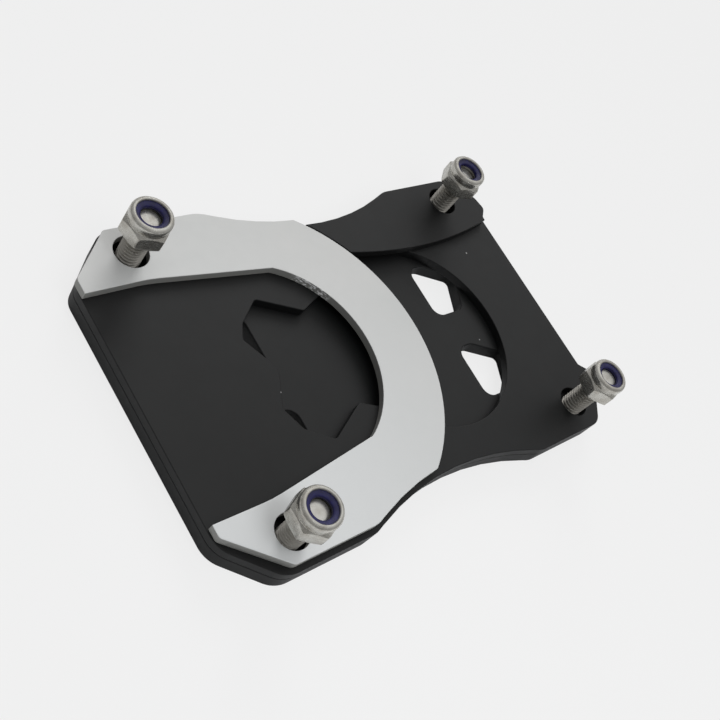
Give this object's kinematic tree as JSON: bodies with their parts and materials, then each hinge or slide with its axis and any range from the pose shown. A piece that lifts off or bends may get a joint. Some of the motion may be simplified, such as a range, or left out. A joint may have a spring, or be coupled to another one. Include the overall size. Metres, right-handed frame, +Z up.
{
  "type": "side stand foot extension",
  "caption": "Waisted double foot plate for a motorcycle side stand, with a shaped pocket under a clamping arch and bar, screwed at its corners with lock nuts.",
  "frame": {"origin": "middle of the overall length and width, on the flat underside that rests on the ground (z = 0)", "axes": "+X from the front end with the arch's legs to the rear end with the two ears, +Y to the left side where the bar lies, +Z up along the screws"},
  "size_m": [0.1327, 0.0864, 0.0234],
  "materials": {
    "black_plate": "matte black anodised",
    "silver_plate": "satin clear anodised",
    "screw_steel": "plain stainless",
    "nut_steel": "plain stainless",
    "nylon": "dark blue nylon"
  },
  "bodies": {
    "root": {"base_plate": "black_plate", "middle_plate": "black_plate", "clamp_arch": "silver_plate", "clamp_bar": "black_plate", "screw_front_left": "screw_steel", "screw_front_right": "screw_steel", "screw_rear_left": "screw_steel", "screw_rear_right": "screw_steel", "lock_nut_front_left": "nut_steel", "lock_nut_front_right": "nut_steel", "lock_nut_rear_left": "nut_steel", "lock_nut_rear_right": "nut_steel", "nylon_ring_front_left": "nylon", "nylon_ring_front_right": "nylon", "nylon_ring_rear_left": "nylon", "nylon_ring_rear_right": "nylon"}
  },
  "joints": []
}
